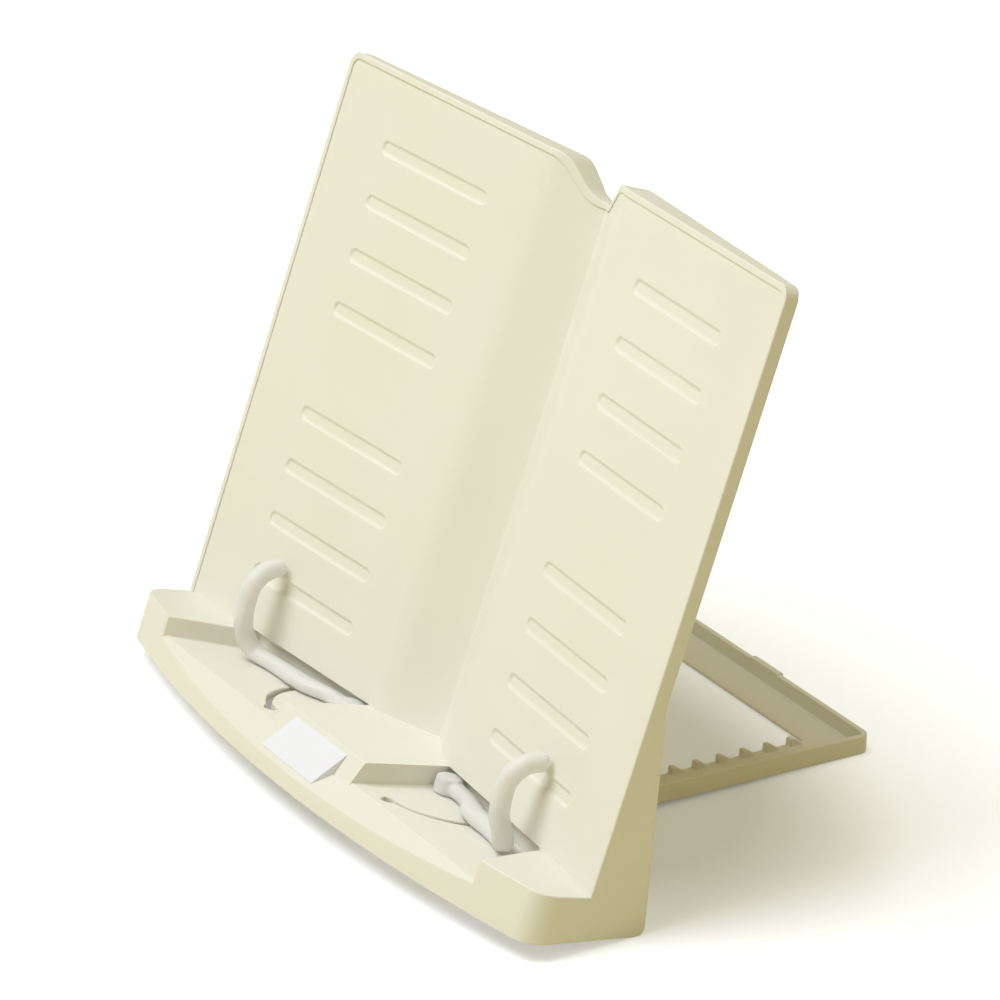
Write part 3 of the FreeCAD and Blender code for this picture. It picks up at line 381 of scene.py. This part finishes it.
def edge_radii(work, width):
    """Radius for each sharp edge, cut back where a face or a corner is too small for it."""
    radii = {}
    for edge in work.edges:
        if len(edge.link_faces) == 2 and edge.calc_face_angle() > SHARP:
            radii[edge] = min(width, FACE_SHARE * min(room_behind(loop) for loop in edge.link_loops))
    for _ in range(CORNER_PASSES):
        tight = {}
        for loop in (loop for face in work.faces for loop in face.loops):
            pair = (loop.link_loop_prev.edge, loop.edge)
            if not all(edge in radii for edge in pair):
                continue
            one, two = (edge.other_vert(loop.vert).co - loop.vert.co for edge in pair)
            tangent = math.tan(one.angle(two, math.pi) / 2.0)
            limit = CORNER_SHARE * tangent * min(edge.calc_length() for edge in pair)
            for edge in pair:
                if tangent < STRAIGHT_ON and radii[edge] > limit:
                    tight[edge] = min(limit, tight.get(edge, width))
        if not tight:
            break
        radii.update(tight)
    return {edge: radius for edge, radius in radii.items() if radius > LEAST_SHARE * width}


def misfits(mesh, surface, width):
    """Places where a rounded mesh leaves the solid's surface or folds over."""
    gaps = [surface.find_nearest(vert.co)[3] for vert in mesh.vertices]
    spots = []
    mesh.calc_loop_triangles()
    for triangle in mesh.loop_triangles:
        one, two, three = (mesh.vertices[index].co for index in triangle.vertices)
        middle = (one + two + three) / 3.0
        normal = (two - one).cross(three - one)
        facing, gap = surface.find_nearest(middle)[1::2]
        is_off = max(gap, *(gaps[index] for index in triangle.vertices)) > OFF_SURFACE * width
        is_large = normal.length > LEAST_CROSS
        is_folded = gap < ON_SURFACE * width and normal.normalized().dot(facing) < FOLDED_OVER
        if is_off or (is_large and is_folded):
            spots.append(middle)
    return spots


def edge_gap(edge, spot):
    """Distance from a point to an edge."""
    one, two = (vert.co for vert in edge.verts)
    near, along = intersect_point_line(spot, one, two)
    return ((one if along < 0.0 else two if along > 1.0 else near) - spot).length


def edges_near(spots, edges, width, margin):
    """Edges that are closest to some places, with those up to a margin further away."""
    near = set()
    for spot in spots:
        gaps = {edge: edge_gap(edge, spot) for edge in edges}
        if min(gaps.values()) < NEAR_PLACE * width:
            limit = min(gaps.values()) + margin * width
            near |= {edge for edge, gap in gaps.items() if gap < limit}
    return near


def softened(node, width, mends=(), crisp=()):
    """Copy of a solid with its edges rounded, but for those in the crisp boxes, standing for the solid."""
    work = welded(node)
    for mend in mends:
        mend(work)
    surface = BVHTree.FromBMesh(work)
    weight = work.edges.layers.float.new("bevel_weight_edge")
    radii = edge_radii(work, width)
    for edge in list(radii):
        middle = (edge.verts[0].co + edge.verts[1].co) / 2.0
        if any(inside(middle, box) for box in crisp):
            del radii[edge]
    mesh = bpy.data.meshes.new(f"{node}_sharp")
    item = bpy.data.objects.new(f"{node}_soft", mesh)
    scene.collection.objects.link(item)
    bevel = item.modifiers.new("bevel", "BEVEL")
    bevel.width = width
    bevel.segments = BEVEL_STEPS
    bevel.limit_method = "WEIGHT"
    bevel.use_clamp_overlap = False
    for margin in TRY_MARGINS:
        for edge in work.edges:
            edge[weight] = radii.get(edge, 0.0) / width
        work.to_mesh(mesh)
        if "custom_normal" in mesh.attributes:
            mesh.attributes.remove(mesh.attributes["custom_normal"])
        rounded = as_modified(item)
        drop = edges_near(misfits(rounded, surface, width), radii, width, margin)
        if not drop:
            break
        radii = {edge: radius for edge, radius in radii.items() if edge not in drop}
    work.clear()
    work.from_mesh(rounded)
    clean(work, SLIVER)
    work.to_mesh(rounded)
    work.free()
    item.modifiers.clear()
    item.data = rounded
    rounded.shade_smooth()
    rounded.set_sharp_from_angle(angle=SHADED_SHARP)
    item.modifiers.new("weigh", "WEIGHTED_NORMAL").keep_sharp = True
    stand_in(item, node)


# Edges around the foot of the fold stay crisp.
FOLD_FOOT = ((0.0, -0.056, 0.004), (0.040, -0.025, 0.026))
SHELL_MENDS = (open_grooves, level_fold_foot, taper_top_wall)
softened("body_shell", width=0.0006, mends=SHELL_MENDS, crisp=(FOLD_FOOT,))
softened("support_frame", width=0.0004)
softened("prop_stay", width=0.0005)


# Page clips: a bar that narrows at the pivot, swells over its peg and runs up into a round hook.
# The floor of their pockets lies this far up from their joints.
POCKET_FLOOR = 0.0041
CLIP_ANGLE = math.radians(8.8)
# A clip's own sizes are in millimetres: reach along the arm, offset across it, height over the floor.
MILLIMETRE = 0.001
ROD = 3.4
HOOK_REACH = 55.0
CURL = 10.5
CURL_OFFSET = 2.43
CURL_HEIGHT = 22.2
CURL_TURNS = [math.radians(degrees) for degrees in (15, 30, 45, 60, 74, 86)]
TIP_TURNS = [math.radians(degrees) for degrees in (20, 40, 58, 74, 84)]
# Stations along the arm: reach, offset, height, half width, half thickness.
ARM = (
    (-3.6, 0.5, 2.5, 2.4, 1.9),
    (-1.0, 0.7, 2.5, 3.6, 2.4),
    (4.0, 1.2, 2.5, 3.3, 2.4),
    (9.0, 1.6, 2.5, 2.8, 2.4),
    (14.5, 1.4, 2.5, 2.8, 2.4),
    (19.0, 0.2, 2.5, 3.5, 2.5),
    (24.0, -0.9, 2.5, 4.1, 2.5),
    (30.0, -1.0, 2.5, 4.0, 2.5),
    (36.0, -0.6, 2.5, 3.4, 2.5),
    (42.0, -0.4, 2.5, 3.2, 2.5),
    (47.5, -0.8, 2.7, 3.2, 2.6),
    (51.8, -2.0, 3.7, 3.3, 3.0),
    (54.3, -4.2, 6.5, ROD, 3.3),
    (55.1, -6.2, 10.4, ROD, ROD),
    (HOOK_REACH, -7.6, 14.2, ROD, ROD),
    (HOOK_REACH, CURL_OFFSET - CURL, 18.0, ROD, ROD),
    (HOOK_REACH, CURL_OFFSET - CURL, CURL_HEIGHT, ROD, ROD),
)
STATION_STEPS = 4
# Turned parts: radius and height pairs of the boss on the pivot and of the peg in its slot.
BOSS_REACH = 0.0
BOSS = ((2.4, -4.0), (2.5, -3.8), (2.5, 0.0), (4.5, 0.0), (4.7, 0.3), (4.7, 4.9), (4.4, 5.6), (3.6, 5.9),
        (1.0, 6.0))
PEG_REACH = 27.3
PEG = ((0.7, -4.0), (1.0, -3.6), (1.0, 1.0), (0.5, 1.5))
# Points around a section. Where it is wider than thick, a power below 1 squares it up.
AROUND = 24
ROUND_POWER = 1.0
SQUARE_POWER = 0.75
SQUARE_LEAST = 0.05
# The parts are fused by remeshing, then smoothed.
VOXEL = 0.00042
SMOOTH_SHARE = 0.5
SMOOTH_ROUNDS = 5


def curve_through(stations):
    """Smooth run of values through the stations."""
    run = []
    last = len(stations) - 1
    for k in range(last):
        four = [stations[min(max(k + shift, 0), last)] for shift in (-1, 0, 1, 2)]
        for step in range(STATION_STEPS):
            t = step / STATION_STEPS
            run.append([0.5 * (2 * q + (r - p) * t + (2 * p - 5 * q + 4 * r - w) * t * t
                               + (3 * q - p - 3 * r + w) * t ** 3) for p, q, r, w in zip(*four)])
    return run + [list(stations[last])]


def skin(work, rings):
    """Closed skin over rings of points."""
    rows = [[work.verts.new(point) for point in ring] for ring in rings]
    for one, two in zip(rows, rows[1:]):
        for k in range(len(one)):
            n = (k + 1) % len(one)
            work.faces.new((one[k], one[n], two[n], two[k]))
    work.faces.new(rows[0][::-1])
    work.faces.new(rows[-1])


def circle():
    """Cosine and sine of each turn around a section."""
    turns = [2.0 * math.pi * n / AROUND for n in range(AROUND)]
    return [(math.cos(turn), math.sin(turn)) for turn in turns]


def swept(work, run):
    """Rounded bar along a run of places, each with its half width and half thickness."""
    rings = []
    side = Vector((0.0, 1.0, 0.0))
    for k, (x, y, z, wide, thick) in enumerate(run):
        before, after = run[max(k - 1, 0)], run[min(k + 1, len(run) - 1)]
        ahead = (Vector(after[:3]) - Vector(before[:3])).normalized()
        side = (side - ahead * side.dot(ahead)).normalized()
        up = ahead.cross(side)
        power = SQUARE_POWER if thick < wide - SQUARE_LEAST else ROUND_POWER
        ring = []
        for cosine, sine in circle():
            across = math.copysign(abs(cosine) ** power, cosine)
            over = math.copysign(abs(sine) ** power, sine)
            ring.append(Vector((x, y, z)) + side * (across * wide) + up * (over * thick))
        rings.append(ring)
    skin(work, rings)


def turned(work, reach, profile):
    """Turned piece about an upright on the arm, from radius and height pairs."""
    skin(work, [[Vector((reach + radius * cosine, radius * sine, height)) for cosine, sine in circle()]
                for radius, height in profile])


def clip_run():
    """Places along a clip's arm, its hook and the hook's round tip, with half widths and thicknesses."""
    stations = list(ARM)
    for turn in CURL_TURNS:
        offset = CURL_OFFSET - CURL * math.cos(turn)
        height = CURL_HEIGHT + CURL * math.sin(turn)
        stations.append((HOOK_REACH, offset, height, ROD, ROD))
    run = curve_through(stations)
    before, tip = (Vector(place[:3]) for place in run[-2:])
    ahead = (tip - before).normalized()
    for turn in TIP_TURNS:
        radius = ROD * math.cos(turn)
        run.append([*(tip + ahead * (ROD * math.sin(turn))), radius, radius])
    return run


def add_clip(side, hand):
    """Page clip at its pivot on the pocket floor."""
    work = bmesh.new()
    swept(work, clip_run())
    turned(work, BOSS_REACH, BOSS)
    turned(work, PEG_REACH, PEG)
    along = Matrix.Rotation(-hand * CLIP_ANGLE, 3, FLOOR_UP) @ Vector((1.0, 0.0, 0.0))
    across = FLOOR_UP.cross(along)
    turn = Matrix((along * hand, across, FLOOR_UP)).transposed().to_4x4()
    joint_place = Vector(JOINTS[f"clip_{side}_swing"]["pos_m"])
    pivot = rounded_off(joint_place + FLOOR_UP * POCKET_FLOOR, PLACE_DIGITS)
    work.transform(Matrix.Translation(pivot) @ turn @ Matrix.Scale(MILLIMETRE, 4))
    bmesh.ops.recalc_face_normals(work, faces=work.faces)
    mesh = bpy.data.meshes.new(f"clip_{side}_parts")
    work.to_mesh(mesh)
    work.free()
    item = bpy.data.objects.new(f"page_clip_{side}_soft", mesh)
    scene.collection.objects.link(item)
    fuse = item.modifiers.new("fuse", "REMESH")
    fuse.mode = "VOXEL"
    fuse.voxel_size = VOXEL
    relax = item.modifiers.new("relax", "SMOOTH")
    relax.factor = SMOOTH_SHARE
    relax.iterations = SMOOTH_ROUNDS
    fused = as_modified(item)
    item.modifiers.clear()
    item.data = fused
    fused.shade_smooth()
    stand_in(item, f"page_clip_{side}")


add_clip("left", -1.0)
add_clip("right", 1.0)


# Floor and light.
WHITE = (1.0, 1.0, 1.0, 1.0)
FLOOR_HALF = 8.0
# The floor's glow is the sum of two rings: strength within and beyond, and where each ring starts and ends.
# The glow is weakest near the stand, so the floor around and under the stand carries painted shade.
GLOW_AND_PAINTED_SHADE_RINGS = ((0.16, 0.42, 0.10, 0.17), (0.0, 0.60, 0.30, 1.20))
# The rings are ovals, narrower from front to back.
GLOW_STRETCH = (1.0, 1.7, 1.0)
ROOM_COLOUR = (1.0, 0.87, 0.42, 1.0)
ROOM_STRENGTH = 0.36
LIT_SPOT = Vector((0.0, 0.0, 0.09))


def show_to(rays, tree, output, usual, shown):
    """Let the named kinds of ray see one shader, while all other light meets the usual one."""
    path = tree.nodes.new("ShaderNodeLightPath")
    seen = path.outputs[rays[0]]
    for ray in rays[1:]:
        either = tree.nodes.new("ShaderNodeMath")
        either.operation = "MAXIMUM"
        tree.links.new(seen, either.inputs[0])
        tree.links.new(path.outputs[ray], either.inputs[1])
        seen = either.outputs[0]
    mix = tree.nodes.new("ShaderNodeMixShader")
    for source, socket in zip((seen, usual.outputs[0], shown.outputs[0]), mix.inputs):
        tree.links.new(source, socket)
    tree.links.new(mix.outputs[0], tree.nodes[output].inputs["Surface"])


def floor_look():
    """Warm matt floor for the light that it throws back, with a glowing white one to be seen, whose glow
    fades toward the stand as painted shade.
    """
    mat = Nodes("floor_pale")
    mat.tone(mat.noise(scale=9.0, detail=3.0), dark=(0.78, 0.72, 0.46), light=(0.80, 0.74, 0.48))
    mat.set(Roughness=0.9, Specular_IOR_Level=0.1)
    seen = mat.add("ShaderNodeBsdfPrincipled", Base_Color=(0.80, 0.83, 0.90, 1.0), Roughness=0.95,
                   Specular_IOR_Level=0.0, Emission_Color=WHITE)
    oval = mat.add("ShaderNodeVectorMath", operation="MULTIPLY")
    oval.inputs[1].default_value = GLOW_STRETCH
    mat.link(mat.place, oval.inputs[0])
    distance = mat.add("ShaderNodeVectorMath", operation="LENGTH")
    mat.link(oval.outputs["Vector"], distance.inputs[0])
    # Glow strength, least near the middle where the stand is: painted shade on the floor around and under
    # it.
    glow_with_painted_shade = mat.add("ShaderNodeMath", operation="ADD")
    for ring, socket in zip(GLOW_AND_PAINTED_SHADE_RINGS, glow_with_painted_shade.inputs):
        mat.link(mat.spread(distance.outputs["Value"], *ring), socket)
    mat.link(glow_with_painted_shade.outputs[0], seen.inputs["Emission Strength"])
    rays = ("Is Camera Ray", "Is Glossy Ray", "Is Transmission Ray")
    show_to(rays, mat.tree, "Material Output", mat.shader, seen)
    return mat.material


def add_floor():
    """Pale floor that looks white from the camera, keeps the shadow and has painted shade where its glow
    fades near the stand.
    """
    corners = [(x * FLOOR_HALF, y * FLOOR_HALF, 0.0) for x, y in ((-1, -1), (1, -1), (1, 1), (-1, 1))]
    mesh = bpy.data.meshes.new("floor")
    mesh.from_pydata(corners, [], [(0, 1, 2, 3)])
    item = bpy.data.objects.new("floor", mesh)
    scene.collection.objects.link(item)
    mesh.materials.append(floor_look())


def add_world():
    """Soft warm room light, white where the camera looks past the floor."""
    world = bpy.data.worlds.new("studio")
    scene.world = world
    world.use_nodes = True
    tree = world.node_tree
    room = tree.nodes["Background"]
    room.inputs["Color"].default_value = ROOM_COLOUR
    room.inputs["Strength"].default_value = ROOM_STRENGTH
    white = tree.nodes.new("ShaderNodeBackground")
    white.inputs["Color"].default_value = WHITE
    white.inputs["Strength"].default_value = 1.0
    show_to(("Is Camera Ray", "Is Transmission Ray"), tree, "World Output", room, white)


def add_light(name, spot, size, power, colour):
    """Square soft box aimed at the middle of the stand."""
    data = bpy.data.lights.new(name, "AREA")
    data.shape = "SQUARE"
    data.size = size
    data.energy = power
    data.color = colour
    item = bpy.data.objects.new(name, data)
    item.location = spot
    aim = LIT_SPOT - Vector(spot)
    item.rotation_euler = aim.to_track_quat("-Z", "Y").to_euler()
    scene.collection.objects.link(item)


add_floor()
add_world()
add_light("key", (-0.25, -0.80, 1.85), size=1.3, power=33.8, colour=(0.88, 0.93, 1.0))
add_light("front", (-0.30, -1.90, 0.75), size=1.2, power=2.5, colour=(0.90, 0.95, 1.0))
add_light("rear", (1.10, 0.90, 1.30), size=1.0, power=2.4, colour=(1.0, 0.95, 0.80))
